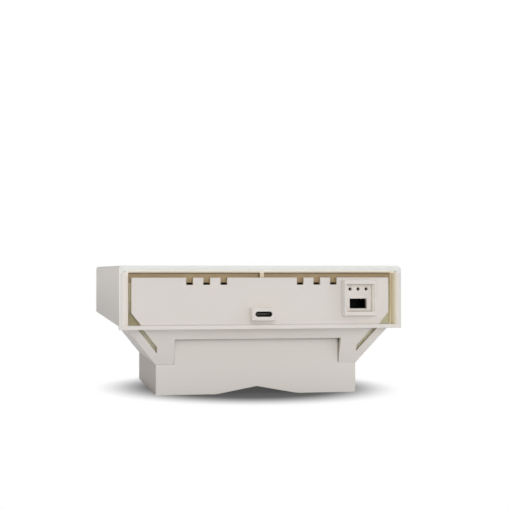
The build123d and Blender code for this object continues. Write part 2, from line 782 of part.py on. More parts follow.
def make_radio_can():
    """Drawn shield can on the radio module, with rounded corners."""
    can = on_board(radio_offset_x, radio_offset_y - (radio_length - radio_can_length) / 2 + radio_can_inset,
                   radio_width - 2 * radio_can_inset, radio_can_length, radio_can_height,
                   radio_board_thickness)
    upper = can.edges().group_by(Axis.Z)[-1]
    return fillet(upper + can.edges().filter_by(Axis.Z), radio_can_radius)


def make_antenna():
    """Sheet strip held above the board by two legs, one at an end and one part of the way along."""
    strip = on_board(antenna_offset_x, antenna_offset_y, antenna_length, antenna_strip, antenna_sheet,
                     antenna_height - antenna_sheet)
    for share in antenna_leg_shares:
        x = antenna_offset_x + share * (antenna_length - antenna_leg_width)
        y = antenna_offset_y + (antenna_strip - antenna_sheet) / 2
        strip += on_board(x, y, antenna_leg_width, antenna_sheet, antenna_height)
    return strip


def make_inductor():
    """Square power inductor with cut corners."""
    body = on_board(inductor_offset_x, inductor_offset_y, inductor_side, inductor_side, inductor_height)
    return chamfer(body.edges().filter_by(Axis.Z), inductor_corner)


def make_capacitors():
    """Row of standing capacitors, each a can with a groove on a square base with two cut corners."""
    cans = []
    for index in range(capacitor_count):
        x = capacitor_offset_x - index * capacitor_pitch
        y = board_front_y + capacitor_offset_y
        base = on_board(x, capacitor_offset_y, capacitor_base, capacitor_base, capacitor_base_height)
        front_corners = base.edges().filter_by(Axis.Z).group_by(Axis.Y)[0]
        base = chamfer(front_corners, capacitor_base_height)
        radius = capacitor_diameter / 2
        waist = radius - capacitor_groove
        groove_z = capacitor_base_height + capacitor_groove_lift
        profile = Polyline((0, 0), (radius, 0), (radius, groove_z), (waist, groove_z + capacitor_groove),
                           (radius, groove_z + 2 * capacitor_groove),
                           (radius, capacitor_height - capacitor_groove), (waist, capacitor_height),
                           (0, capacitor_height), close=True)
        can = revolve(Plane.XZ * make_face(profile), Axis.Z)
        cans.append(base + Pos(x, y, board_top_z) * can)
    return cans


def make_sensor_board():
    """Small upright board behind the vents, which carries the temperature element."""
    y = board_front_y + sensor_board_setback
    half = sensor_board_width / 2
    board = block(-notch_group_offset - half, -notch_group_offset + half, y, y + sensor_board_thickness,
                  board_top_z, board_top_z + sensor_board_height)
    return fillet(board.edges().filter_by(Axis.Y).group_by(Axis.Z)[-1], board_corner_radius)


def make_temperature_element():
    """Flat sensor chip with a small round window, on the upright board's front."""
    y = board_front_y + sensor_board_setback
    z = board_top_z + sensor_board_height - element_side
    half = element_side / 2
    chip = block(-notch_group_offset - half, -notch_group_offset + half, y - element_height, y,
                 z - half, z + half)
    return chip - rod_y(-notch_group_offset, z, y - element_height - cut_overrun,
                        y - element_height + element_window_depth, element_window)


def screws(places, maker, head_z, length, small):
    """A screw at each place, of the small or the larger size."""
    if small:
        sizes = (small_screw_diameter, small_head_diameter, small_head_height,
                 small_recess_diameter, small_recess_depth)
    else:
        sizes = (screw_diameter, screw_head_diameter, screw_head_height,
                 screw_recess_diameter, screw_recess_depth)
    return [maker(x, y, head_z, length, *sizes) for x, y in places]


shield_screw_places = [(x, shield_end_y - shield_post_from_end) for x in shield_post_places()]
module_header_y = module_front_y + module_length - module_header_length - board_front_y

nodes = {
    "sun_shield": make_sun_shield(),
    "front_panel": make_front_panel(),
    "module_face": make_module_face(),
    "back_shell": make_back_shell(),
    "pole_saddle": make_pole_saddle(),
    "threaded_inserts": make_inserts(),
    "case_tray": make_case_tray(),
    "case_lid": make_case_lid(),
    "main_board": make_main_board(),
    "usb_socket": make_usb_socket(),
    "usb_tongue": make_usb_tongue(),
    "sampling_module": make_sampling_module(),
    "module_header": on_board(frame_offset_x, module_header_y, module_header_width, module_header_length,
                              module_header_height),
    "radio_module": on_board(radio_offset_x, radio_offset_y, radio_width, radio_length,
                             radio_board_thickness),
    "radio_can": make_radio_can(),
    "antenna": make_antenna(),
    "processor_chip": on_board(chip_offset_x, chip_offset_y, chip_side, chip_side, chip_height),
    "voltage_regulator": on_board(regulator_offset_x, regulator_offset_y, regulator_width,
                                  regulator_length, regulator_height),
    "power_inductor": make_inductor(),
    "storage_capacitors": make_capacitors(),
    "sensor_board": make_sensor_board(),
    "sensor_header": on_board(-notch_group_offset,
                              sensor_board_setback + sensor_board_thickness + sensor_header_length / 2,
                              sensor_header_width, sensor_header_length, sensor_header_height),
    "temperature_element": make_temperature_element(),
    "board_screws": screws(board_screw_places(), screw_down, board_top_z, board_screw_length, True),
    "lid_screws": screws(lid_screw_places(), screw_down, case_top_z - small_head_height,
                         lid_screw_length - small_head_height, True),
    "case_screws": screws(case_screw_places(), screw_up, shield_bottom_z, case_screw_length, False),
    "shield_screws": screws(shield_screw_places, screw_up, shield_bottom_z, shield_screw_length, False),
    "saddle_screws": screws(saddle_screw_places(), screw_up, saddle_counterbore_depth,
                            saddle_screw_length, False),
}

os.makedirs("parts", exist_ok=True)
for name, shape in nodes.items():
    if isinstance(shape, list):
        shape = Compound(children=shape)
    export_step(shape, f"parts/{name}.step")
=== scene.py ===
"""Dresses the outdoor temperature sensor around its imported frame, with a camera, lamps and a pale floor."""

import logging
import math
from dataclasses import dataclass
from enum import Enum
from typing import Any, Optional, Union

import bpy
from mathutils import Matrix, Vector


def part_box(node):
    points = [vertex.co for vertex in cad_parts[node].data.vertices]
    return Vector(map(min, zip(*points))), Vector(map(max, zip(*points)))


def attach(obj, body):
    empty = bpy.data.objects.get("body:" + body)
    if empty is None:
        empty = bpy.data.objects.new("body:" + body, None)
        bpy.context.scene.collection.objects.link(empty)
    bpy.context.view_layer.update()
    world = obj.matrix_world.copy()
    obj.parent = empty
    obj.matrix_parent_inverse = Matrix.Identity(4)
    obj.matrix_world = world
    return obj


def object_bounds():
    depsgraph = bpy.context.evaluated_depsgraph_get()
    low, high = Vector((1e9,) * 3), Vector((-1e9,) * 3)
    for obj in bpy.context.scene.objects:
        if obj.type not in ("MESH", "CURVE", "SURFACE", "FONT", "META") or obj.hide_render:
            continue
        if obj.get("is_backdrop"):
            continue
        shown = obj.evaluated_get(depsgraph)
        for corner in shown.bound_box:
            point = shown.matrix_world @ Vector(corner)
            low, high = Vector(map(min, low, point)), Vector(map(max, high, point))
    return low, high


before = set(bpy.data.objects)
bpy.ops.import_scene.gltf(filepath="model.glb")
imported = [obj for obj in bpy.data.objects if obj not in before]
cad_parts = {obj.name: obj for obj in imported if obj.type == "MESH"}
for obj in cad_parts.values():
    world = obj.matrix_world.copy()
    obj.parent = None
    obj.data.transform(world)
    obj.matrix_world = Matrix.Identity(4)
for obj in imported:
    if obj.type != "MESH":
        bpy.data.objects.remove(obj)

MM = 0.001
HAIR = 0.1 * MM
FINE_BLUR = 0.2 * MM
EDGE_BLUR = 0.5 * MM
ROOT = "root"
log = logging.getLogger("sensor")

Colour = tuple[float, float, float]
Point = tuple[float, float, float]
Pair = tuple[float, float]
Number = Union[float, int]
Settings = Optional[dict[str, Any]]
Values = dict[Union[str, int], Any]

WHITE: Colour = (1.0, 1.0, 1.0)
BLACK: Colour = (0.0, 0.0, 0.0)

# The display curve that colours are written in: straight up to its knee, and a power past it.
CURVE_KNEE = 0.04045
CURVE_SLOPE = 12.92
CURVE_OFFSET = 0.055
CURVE_POWER = 2.4

BEVEL_SAMPLES = 4


def linear(red: int, green: int, blue: int) -> Colour:
    """Turns a display colour into scene values.

    Args:
        red: Red from 0 to 255.
        green: Green from 0 to 255.
        blue: Blue from 0 to 255.

    Returns:
        The colour's linear values.
    """
    values = []
    for channel in (red, green, blue):
        share = channel / 255
        curved = ((share + CURVE_OFFSET) / (1 + CURVE_OFFSET)) ** CURVE_POWER
        values.append(share / CURVE_SLOPE if share <= CURVE_KNEE else curved)
    return (values[0], values[1], values[2])


def opaque(colour: Colour) -> tuple[float, float, float, float]:
    """The colour with a full alpha, as a shader's socket takes it."""
    return (*colour, 1.0)


class Wire:
    """An output socket that can be used in arithmetic, each operation adding a Math node."""

    def __init__(self, graph: "Graph", socket: bpy.types.NodeSocket) -> None:
        """Keeps the graph and the socket."""
        self.graph = graph
        self.socket = socket

    def __add__(self, other: "Term") -> "Wire":
        """Sum."""
        return self.graph.math("ADD", self, other)

    def __radd__(self, other: Number) -> "Wire":
        """Sum with a number on the left."""
        return self.graph.math("ADD", other, self)

    def __sub__(self, other: "Term") -> "Wire":
        """Difference."""
        return self.graph.math("SUBTRACT", self, other)

    def __rsub__(self, other: Number) -> "Wire":
        """Difference from a number on the left."""
        return self.graph.math("SUBTRACT", other, self)

    def __mul__(self, other: "Term") -> "Wire":
        """Product."""
        return self.graph.math("MULTIPLY", self, other)

    def __rmul__(self, other: Number) -> "Wire":
        """Product with a number on the left."""
        return self.graph.math("MULTIPLY", other, self)

    def __truediv__(self, other: "Term") -> "Wire":
        """Quotient."""
        return self.graph.math("DIVIDE", self, other)

    def ramp(self, low: float, high: float) -> "Wire":
        """Smooth step from 0 at low to 1 at high, which may be under low, and the step then falls."""
        step = self.graph.node("ShaderNodeMapRange", {"interpolation_type": "SMOOTHSTEP"}, {
            "Value": self, "From Min": low, "From Max": high, "To Min": 0.0, "To Max": 1.0})
        return Wire(self.graph, step.outputs["Result"])


Term = Union[Wire, float, int, bpy.types.NodeSocket]


class Nodes:
    """A node tree, with the one method that adds a node to it."""

    def __init__(self, tree: bpy.types.NodeTree) -> None:
        """Keeps the tree."""
        self.tree = tree

    def node(self, kind: str, settings: Settings = None, values: Optional[Values] = None) -> bpy.types.Node:
        """Adds a node, sets its settings and then its sockets.

        Args:
            kind: The node's type.
            settings: Attributes by name.
            values: Values, wires or other nodes' sockets, by the socket's name or index.

        Returns:
            The new node.
        """
        made = self.tree.nodes.new(kind)
        for key, value in (settings or {}).items():
            setattr(made, key, value)
        for key, value in (values or {}).items():
            source = value.socket if isinstance(value, Wire) else value
            if isinstance(source, bpy.types.NodeSocket):
                self.tree.links.new(source, made.inputs[key])
            else:
                made.inputs[key].default_value = source
        return made


class Graph(Nodes):
    """The shader nodes of a material or of the world, with short calls for what the finishes use."""

    def __init__(self, owner: Union[bpy.types.Material, bpy.types.World]) -> None:
        """Empties the node tree of its owner.

        Args:
            owner: The material or world.
        """
        owner.use_nodes = True
        super().__init__(owner.node_tree)
        self.owner = owner
        self.tree.nodes.clear()

    @staticmethod
    def material(name: str) -> "Graph":
        """The empty graph of a new material."""
        return Graph(bpy.data.materials.new(name))

    def math(self, operation: str, first: Term, second: Term) -> Wire:
        """Adds a Math node on two values."""
        made = self.node("ShaderNodeMath", {"operation": operation}, {0: first, 1: second})
        return Wire(self, made.outputs[0])

    def largest(self, first: Term, second: Term) -> Wire:
        """The larger of two values."""
        return self.math("MAXIMUM", first, second)

    def along(self, vector: Wire, direction: Point) -> Wire:
        """How far a vector reaches in a direction."""
        made = self.node("ShaderNodeVectorMath", {"operation": "DOT_PRODUCT"}, {0: vector, 1: direction})
        return Wire(self, made.outputs["Value"])

    def place(self) -> Wire:
        """The point's place in the object's own coordinates, in metres."""
        return Wire(self, self.node("ShaderNodeTexCoord").outputs["Object"])

    def axes(self, vector: Wire) -> tuple[Wire, Wire, Wire]:
        """Splits a vector into its three numbers."""
        made = self.node("ShaderNodeSeparateXYZ", None, {"Vector": vector})
        return (Wire(self, made.outputs[0]), Wire(self, made.outputs[1]), Wire(self, made.outputs[2]))

    def scaled(self, vector: Wire, scale: Point) -> Wire:
        """Scales a place along each axis, for a pattern that is longer one way."""
        made = self.node("ShaderNodeMapping", None, {"Vector": vector, "Scale": scale})
        return Wire(self, made.outputs["Vector"])

    def noise(self, vector: Wire, size: float, detail: float = 3.0, roughness: float = 0.5) -> Wire:
        """Cloudy value from 0 to 1, with one period to the given size."""
        made = self.node("ShaderNodeTexNoise", {"noise_dimensions": "3D"}, {
            "Vector": vector, "Scale": 1 / size, "Detail": detail, "Roughness": roughness})
        return Wire(self, made.outputs[0])

    def mix(self, share: Term, first: Union[Wire, Colour], second: Union[Wire, Colour]) -> Wire:
        """Blends two colours.

        Args:
            share: How much of the second colour shows, from 0 to 1.
            first: The colour at 0.
            second: The colour at 1.

        Returns:
            The blend.
        """
        first, second = (part if isinstance(part, Wire) else opaque(part) for part in (first, second))
        made = self.node("ShaderNodeMix", {"data_type": "RGBA", "blend_type": "MIX"}, {
            0: share, 6: first, 7: second})
        return Wire(self, made.outputs[2])

    def tinted(self, colour: Wire, amount: Term) -> Wire:
        """Multiplies a colour by a number through a vector node."""
        made = self.node("ShaderNodeVectorMath", {"operation": "SCALE"}, {0: colour, "Scale": amount})
        return Wire(self, made.outputs[0])

    def bump(self, height: Wire, distance: float, strength: float, edge_radius: float = 0.0) -> Wire:
        """Turns a height into a normal.

        Args:
            height: The relief, from 0 to 1.
            distance: How high 1 is.
            strength: How much of the relief shows, from 0 to 1.
            edge_radius: The radius that the shading rounds edges by, or 0.

        Returns:
            The normal.
        """
        values: Values = {"Height": height, "Distance": distance, "Strength": strength}
        if edge_radius > 0:
            soft = self.node("ShaderNodeBevel", {"samples": BEVEL_SAMPLES}, {"Radius": edge_radius})
            values["Normal"] = soft.outputs["Normal"]
        made = self.node("ShaderNodeBump", None, values)
        return Wire(self, made.outputs["Normal"])

    def surface(self, values: Values) -> bpy.types.Material:
        """Closes the graph with a Principled shader and returns the material."""
        shader = self.node("ShaderNodeBsdfPrincipled", None, values)
        return self.closed(shader)

    def closed(self, shader: bpy.types.Node) -> bpy.types.Material:
        """Ends the graph in a shader node and returns the material."""
        self.node("ShaderNodeOutputMaterial", None, {"Surface": shader.outputs[0]})
        return self.owner


@dataclass(frozen=True)
class Side:
    """A flat side of a zone. A point is inside where it lies behind the side, with a soft edge outside it."""

    normal: Point
    reach: float
    blur: float = EDGE_BLUR

    @staticmethod
    def through(point: Point, normal: Point, depth: float) -> "Side":
        """The side that lies a depth behind a wall at a point, where the wall faces along the normal."""
        facing = Vector(normal).normalized()
        return Side(tuple(facing), facing.dot(Vector(point)) - depth)


class Axis(Enum):
    """The directions of the part's frame."""

    ACROSS = (1.0, 0.0, 0.0)
    ALONG = (0.0, 1.0, 0.0)
    UP = (0.0, 0.0, 1.0)

    def under(self, limit: float, blur: float = EDGE_BLUR) -> Side:
        """The side that keeps what is under a limit on this axis."""
        return Side(self.value, limit, blur)

    def over(self, limit: float, blur: float = EDGE_BLUR) -> Side:
        """The side that keeps what is over a limit on this axis."""
        return Side(tuple(-part for part in self.value), -limit, blur)


@dataclass(frozen=True)
class Zone:
    """A part of a piece between flat sides, in metres, whose surface takes another tint."""

    sides: tuple[Side, ...]

    @staticmethod
    def box(low: Point, high: Point, blur: float = EDGE_BLUR) -> "Zone":
        """Makes a zone between two corners.

        Args:
            low: The corner with the smallest values.
            high: The corner with the largest values.
            blur: The width of the soft edge outside the box.

        Returns:
            The zone.
        """
        sides: list[Side] = []
        for axis, least, most in zip(Axis, low, high):
            sides += [axis.under(most, blur), axis.over(least, blur)]
        return Zone(tuple(sides))

    def mask(self, graph: Graph, place: Wire) -> Wire:
        """How far a point is inside the zone.

        Args:
            graph: The material's graph.
            place: The point's place.

        Returns:
            1 inside and 0 outside, with a soft edge.
        """
        inside: Optional[Wire] = None
        for side in self.sides:
            part = graph.along(place, side.normal).ramp(side.reach + side.blur, side.reach)
            inside = part if inside is None else inside * part
        return inside


@dataclass(frozen=True)
class Tint:
    """A colour that a zone of a piece takes."""

    zone: Zone
    colour: Colour


@dataclass(frozen=True)
class MouldedPlastic:
    """Warm off-white moulded plastic with a fine spark-eroded grain."""

    name: str
    colour: Colour
    tints: tuple[Tint, ...] = ()
    painted_glows: tuple[Tint, ...] = ()
    roughness: float = 0.52
    specular: float = 0.35
    refraction: float = 1.5
    grain_size: float = 0.45 * MM
    pits_to_grain: float = 3.1
    grain_share: float = 0.7
    pit_share: float = 0.3
    grain_height: float = 0.02 * MM
    grain_strength: float = 0.6
    wave_size: float = 38 * MM
    wave_stretch: Point = (1.0, 0.35, 1.0)
    tone_spread: float = 0.035
    gloss_spread: float = 0.07
    gloss_from_waves: float = 0.6
    gloss_from_pits: float = 0.4
    edge_radius: float = 0.35 * MM

    def build(self) -> bpy.types.Material:
        """Makes the material: grain, slow flow marks, tone, zones tinted with painted light and shade, and a
        painted glow that stands in for the light that a thin wall lets through.

        Returns:
            The material.
        """
        graph = Graph.material(self.name)
        place = graph.place()
        grain = graph.noise(place, self.grain_size, detail=2.0, roughness=0.6)
        pits = graph.noise(place, self.grain_size * self.pits_to_grain, detail=1.0, roughness=0.4)
        flow = graph.noise(graph.scaled(place, self.wave_stretch), self.wave_size, detail=2.0, roughness=0.45)
        tone = 1 - self.tone_spread / 2 + self.tone_spread * flow
        # The plain colour as a wire, which the tints of painted light and shade are laid over.
        base = graph.mix(0.0, self.colour, self.colour)
        for tint in self.tints:
            base = graph.mix(tint.zone.mask(graph, place), base, tint.colour)
        uneven = self.gloss_from_waves * flow + self.gloss_from_pits * pits
        height = grain * self.grain_share + pits * self.pit_share
        values: Values = {
            "Base Color": graph.tinted(base, tone),
            "Roughness": self.roughness - self.gloss_spread / 2 + self.gloss_spread * uneven,
            "IOR": self.refraction,
            "Specular IOR Level": self.specular,
            "Normal": graph.bump(height, self.grain_height, self.grain_strength, self.edge_radius),
        }
        # Painted glow: emission in zones, for light that a thin wall lets through or that gaps throw back; the
        # part is no lamp.
        if self.painted_glows:
            painted_glow: Union[Wire, Colour] = BLACK
            for glow in self.painted_glows:
                painted_glow = graph.mix(glow.zone.mask(graph, place), painted_glow, glow.colour)
            values["Emission Color"] = painted_glow
            values["Emission Strength"] = 1.0
        return graph.surface(values)


class MetalKind(Enum):
    """Metals on and in the sensor, each with its colour and roughness."""

    TIN = (linear(196, 196, 192), 0.32)
    STEEL = (linear(168, 170, 172), 0.36)
    ALUMINIUM = (linear(205, 206, 208), 0.30)
    BRASS = (linear(206, 168, 96), 0.30)
    GOLD = (linear(226, 182, 96), 0.26)
    SCREW = (linear(178, 178, 176), 0.28)


@dataclass(frozen=True)
class Metal:
    """Bare or plated metal with fine drawing lines and a little staining."""

    name: str
    kind: MetalKind
    # Inner zones painted near black as shade.
    painted_shade_zones: tuple[Zone, ...] = ()
    dark: Colour = (0.004, 0.004, 0.004)
    line_size: float = 0.25 * MM
    stretch: float = 0.06
    line_gloss: float = 0.12
    line_height: float = 0.01 * MM
    line_strength: float = 0.35
    stain: float = 0.10
    stain_size: float = 6 * MM
    stain_from: Pair = (0.35, 0.8)
    stain_tone: float = 0.45
    stain_gloss: float = 0.08
    edge_radius: float = 0.12 * MM

    def build(self) -> bpy.types.Material:
        """Makes the material: drawn lines in the roughness and the normal, and painted shade, near black, in
        inner zones.

        Returns:
            The material.
        """
        colour, roughness = self.kind.value
        graph = Graph.material(self.name)
        place = graph.place()
        lines = graph.noise(graph.scaled(place, (self.stretch, 1.0, 1.0)), self.line_size, detail=2.0)
        cloud = graph.noise(place, self.stain_size)
        stained = tuple(self.stain_tone * part for part in colour)
        base = graph.mix(cloud.ramp(*self.stain_from) * self.stain, colour, stained)
        for zone in self.painted_shade_zones:
            base = graph.mix(zone.mask(graph, place), base, self.dark)
        return graph.surface({
            "Base Color": base,
            "Metallic": 1.0,
            "Roughness": roughness + self.line_gloss * (lines - 0.5) + self.stain_gloss * cloud,
            "Normal": graph.bump(lines, self.line_height, self.line_strength, self.edge_radius),
        })


@dataclass(frozen=True)
class ChipResin:
    """Black moulded resin of chips, headers and the socket's tongue."""

    name: str
    colour: Colour = linear(34, 34, 36)
    worn: Colour = linear(62, 62, 64)
    wear: float = 0.25
    wear_size: float = 5 * MM
    wear_from: Pair = (0.45, 0.9)
    roughness: float = 0.55
    grain_size: float = 0.18 * MM
    grain_gloss: float = 0.15
    grain_height: float = 0.015 * MM
    grain_strength: float = 0.5
    edge_radius: float = 0.1 * MM

    def build(self) -> bpy.types.Material:
        """Makes the material: dull black with a fine grain and paler worn patches.

        Returns:
            The material.
        """
        graph = Graph.material(self.name)
        place = graph.place()
        grain = graph.noise(place, self.grain_size, detail=2.0)
        cloud = graph.noise(place, self.wear_size, detail=2.0)
        return graph.surface({
            "Base Color": graph.mix(cloud.ramp(*self.wear_from) * self.wear, self.colour, self.worn),
            "Roughness": self.roughness + self.grain_gloss * (grain - 0.5),
            "Normal": graph.bump(grain, self.grain_height, self.grain_strength, self.edge_radius),
        })


@dataclass(frozen=True)
class SolderResist:
    """Green board with covered copper areas and straight tracks."""

    name: str
    green: Colour = linear(18, 84, 52)
    over_copper: Colour = linear(34, 112, 70)
    field_size: float = 17 * MM
    field_spread: float = 0.7
    field_edge: Pair = (0.05, 0.07)
    track_pitch: float = 3.2 * MM
    track_width: float = 0.5 * MM
    track_edge: float = 0.7
    copper_height: float = 0.03 * MM
    copper_strength: float = 0.6
    roughness: float = 0.34
    gloss_spread: float = 0.08
    gloss_size: float = 1.5 * MM
    coat: float = 0.25

    def build(self) -> bpy.types.Material:
        """Makes the material: copper fields, straight tracks, and a raised edge to both in the bump.

        Returns:
            The material.
        """
        graph = Graph.material(self.name)
        place = graph.place()
        fields = graph.node("ShaderNodeTexVoronoi", {"feature": "DISTANCE_TO_EDGE", "voronoi_dimensions": "2D"}, {
            "Vector": place, "Scale": 1 / self.field_size, "Randomness": self.field_spread})
        field_mask = Wire(graph, fields.outputs[0]).ramp(*self.field_edge)
        across, _, _ = graph.axes(place)
        beat = graph.math("PINGPONG", across, self.track_pitch / 2)
        track_mask = beat.ramp(self.track_width, self.track_width * self.track_edge) * (1 - field_mask)
        copper = graph.largest(field_mask, track_mask)
        return graph.surface({
            "Base Color": graph.mix(copper, self.green, self.over_copper),
            "Roughness": self.roughness + self.gloss_spread * graph.noise(place, self.gloss_size, detail=2.0),
            "Normal": graph.bump(copper, self.copper_height, self.copper_strength),
            "Coat Weight": self.coat,
        })


@dataclass(frozen=True)
class StudioFloor:
    """Pale floor with a painted soft shadow, an ellipse round the sensor's foot, that turns to plain white
    further out.
    """

    # Centre and radii of the painted shadow ellipse.
    middle: Pair
    reach: Pair
    name: str = "studio_floor"
    core_share: float = 0.54
    core_white: float = 0.07
    # Painted glow inside the painted shadow.
    painted_core_glow: float = 0.075
    bounce: float = 0.82

    def build(self) -> bpy.types.Material:
        """Makes the material, open from below. What the camera sees is brighter than what lights the sensor.

        Returns:
            The material.
        """
        graph = Graph.material(self.name)
        # Painted shadow: inside the ellipse the floor is a deep grey diffuse, lit by the lamps and with a little
        # painted glow; past it, plain white.
        across, along, _ = graph.axes(graph.place())
        side = (across - self.middle[0]) / self.reach[0]
        front = (along - self.middle[1]) / self.reach[1]
        away = graph.math("SQRT", side * side + front * front, 0.0)
        shadowed = graph.node("ShaderNodeBsdfPrincipled", None, {
            "Base Color": opaque((self.core_white,) * 3), "Roughness": 1.0, "Specular IOR Level": 0.0,
            "Emission Color": opaque(WHITE), "Emission Strength": self.painted_core_glow})
        plain = graph.node("ShaderNodeEmission", None, {"Color": opaque(WHITE), "Strength": 1.0})
        seen = self.blend(graph, away.ramp(self.core_share, 1.0), shadowed, plain)
        felt = graph.node("ShaderNodeBsdfDiffuse", None, {"Color": opaque((self.bounce,) * 3)})
        rays = graph.node("ShaderNodeLightPath")
        direct = graph.largest(rays.outputs["Is Camera Ray"], rays.outputs["Is Glossy Ray"])
        whole = self.blend(graph, direct, felt, seen)
        clear = graph.node("ShaderNodeBsdfTransparent")
        below = graph.node("ShaderNodeNewGeometry").outputs["Backfacing"]
        return graph.closed(self.blend(graph, below, whole, clear))

    @staticmethod
    def blend(graph: Graph, share: Term, first: bpy.types.Node, second: bpy.types.Node) -> bpy.types.Node:
        """Adds a Mix Shader node between two shader nodes."""
        return graph.node("ShaderNodeMixShader", None, {0: share, 1: first.outputs[0], 2: second.outputs[0]})


class Slot(Enum):
    """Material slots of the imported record."""

    SHELL = "shell_plastic"
    PANEL = "panel_plastic"
    CASE = "case_plastic"
    BOARD = "board_green"
    CHIP = "chip_black"
    PLATED = "plated_metal"
    CAN = "can_aluminium"
    MODULE = "module_steel"
    BRASS = "brass_insert"
    SCREW = "screw_steel"


Finish = Union[MouldedPlastic, Metal, ChipResin, SolderResist]


class Palette:
    """Makes each finish once and gives it to CAD nodes and pieces by its slot."""

    def __init__(self, finishes: dict[Slot, Finish]) -> None:
        """Builds the materials of all slots."""
        self.materials = {slot: finish.build() for slot, finish in finishes.items()}

    def dress(self, node: str, slot: Slot, finish: Optional[Finish] = None) -> None:
        """Gives a CAD node its finish.

        Args:
            node: The node's name.
            slot: Its material slot.
            finish: A finish for this node alone, or nothing for the slot's own.
        """
        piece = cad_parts[node]
        material = finish.build() if finish else self.materials[slot]
        piece.data.materials.clear()
        piece.data.materials.append(material)
        log.info("%s wears %s", node, material.name)


def show(made: bpy.types.Object) -> bpy.types.Object:
    """Puts a new object in the scene and returns it."""
    bpy.context.scene.collection.objects.link(made)
    return made


class Shapes:
    """Small meshes that repeat."""

    @staticmethod
    def mesh(name: str, points: list[Point], faces: list[tuple[int, ...]]) -> bpy.types.Mesh:
        """Makes a mesh.

        Args:
            name: The mesh's name.
            points: Its points.
            faces: The points of each face, in order.

        Returns:
            The mesh.
        """
        made = bpy.data.meshes.new(name)
        made.from_pydata(points, [], faces)
        made.validate()
        made.update()
        return made

    @staticmethod
    def column(name: str, rings: list[list[Point]]) -> bpy.types.Mesh:
        """Joins rings of four points into a closed column.

        Args:
            name: The mesh's name.
            rings: The rings in order, each counter-clockwise as seen from past the last one.

        Returns:
            The closed mesh, with its faces outwards.
        """
        faces: list[tuple[int, ...]] = [(3, 2, 1, 0)]
        last = (len(rings) - 1) * 4
        for near in range(0, last, 4):
            for corner in range(4):
                follow = (corner + 1) % 4
                faces.append((near + corner, near + follow, near + 4 + follow, near + 4 + corner))
        faces.append((last, last + 1, last + 2, last + 3))
        return Shapes.mesh(name, [point for ring in rings for point in ring], faces)

    @staticmethod
    def strip(name: str, line: list[Pair], width: float, thickness: float) -> bpy.types.Mesh:
        """Bends a flat strip along a line in Y and Z, such as a chip's lead.

        Args:
            name: The mesh's name.
            line: The places that the strip's middle passes, from root to tip.
            width: Its size in X.
            thickness: Its size across the line.

        Returns:
            The closed mesh.
        """
        rings: list[list[Point]] = []
        for index, (y, z) in enumerate(line):
            before = Vector(line[max(index - 1, 0)])
            after = Vector(line[min(index + 1, len(line) - 1)])
            along = (after - before).normalized()
            side = Vector((-along.y, along.x)) * (thickness / 2)
            rings.append([(x * width / 2, y + sign * side.x, z + sign * side.y)
                          for x, sign in ((-1, 1), (1, 1), (1, -1), (-1, -1))])
        return Shapes.column(name, rings)

    @staticmethod
    def peg(name: str, width: float, low: float, high: float, taper: float) -> bpy.types.Mesh:
        """Makes a square pin with both ends narrowed, standing on Z.

        Args:
            name: The mesh's name.
            width: Its size in X and Y.
            low: Where it starts.
            high: Where it ends.
            taper: How long and how deep the narrowed ends are.

        Returns:
            The closed mesh.
        """
        half = width / 2
        tip = half - taper
        return Shapes.column(name, [
            [(-reach, -reach, z), (reach, -reach, z), (reach, reach, z), (-reach, reach, z)]
            for z, reach in ((low, tip), (low + taper, half), (high - taper, half), (high, tip))])


class NodeTree(Nodes):
    """A Geometry Nodes tree with named inputs, which ends as one plain mesh piece."""

    def __init__(self, name: str) -> None:
        """Makes an empty tree that takes a geometry and gives one back.

        Args:
            name: The tree's name.
        """
        super().__init__(bpy.data.node_groups.new(name, "GeometryNodeTree"))
        for way in ("INPUT", "OUTPUT"):
            self.tree.interface.new_socket("Geometry", in_out=way, socket_type="NodeSocketGeometry")
        self.start = self.node("NodeGroupInput")
        self.values: dict[str, Any] = {}

    def size(self, name: str, value: Union[int, float, Point]) -> bpy.types.NodeSocket:
        """Adds a named input of the kind that its value has, and remembers the value.

        Args:
            name: The input's name.
            value: A whole number, a length, or three lengths.

        Returns:
            The socket that gives the value inside the tree.
        """
        kinds = {int: "NodeSocketInt", float: "NodeSocketFloat", tuple: "NodeSocketVector"}
        made = self.tree.interface.new_socket(name, in_out="INPUT", socket_type=kinds[type(value)])
        self.values[made.identifier] = value
        return self.start.outputs[name]

    def piece(self, name: str, shape: bpy.types.NodeSocket, seed_mesh: bpy.types.Mesh,
              material: bpy.types.Material) -> bpy.types.Object:
        """Closes the tree, runs it on a mesh and returns the plain result.

        Args:
            name: The piece's name.
            shape: The geometry to show.
            seed_mesh: The mesh that the tree repeats.
            material: The finish of the whole piece.

        Returns:
            A mesh object at the origin with no modifier.
        """
        plain = self.node("GeometryNodeRealizeInstances", None, {"Geometry": shape})
        dressed = self.node("GeometryNodeSetMaterial", None, {"Geometry": plain.outputs[0], "Material": material})
        self.node("NodeGroupOutput", None, {0: dressed.outputs[0]})
        source = show(bpy.data.objects.new(name + "_source", seed_mesh))
        modifier = source.modifiers.new("nodes", "NODES")
        modifier.node_group = self.tree
        for identifier, value in self.values.items():
            modifier[identifier] = value
        graph = bpy.context.evaluated_depsgraph_get()
        result = bpy.data.meshes.new_from_object(source.evaluated_get(graph), depsgraph=graph)
        source.modifiers.remove(modifier)
        bpy.data.objects.remove(source)
        result.name = name
        result.materials.clear()
        result.materials.append(material)
        return show(bpy.data.objects.new(name, result))


def settle(piece: bpy.types.Object) -> None:
    """Fixes a new piece to the sensor.

    Args:
        piece: The piece.
    """
    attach(piece, ROOT)
    log.info("%s: %d faces", piece.name, len(piece.data.polygons))


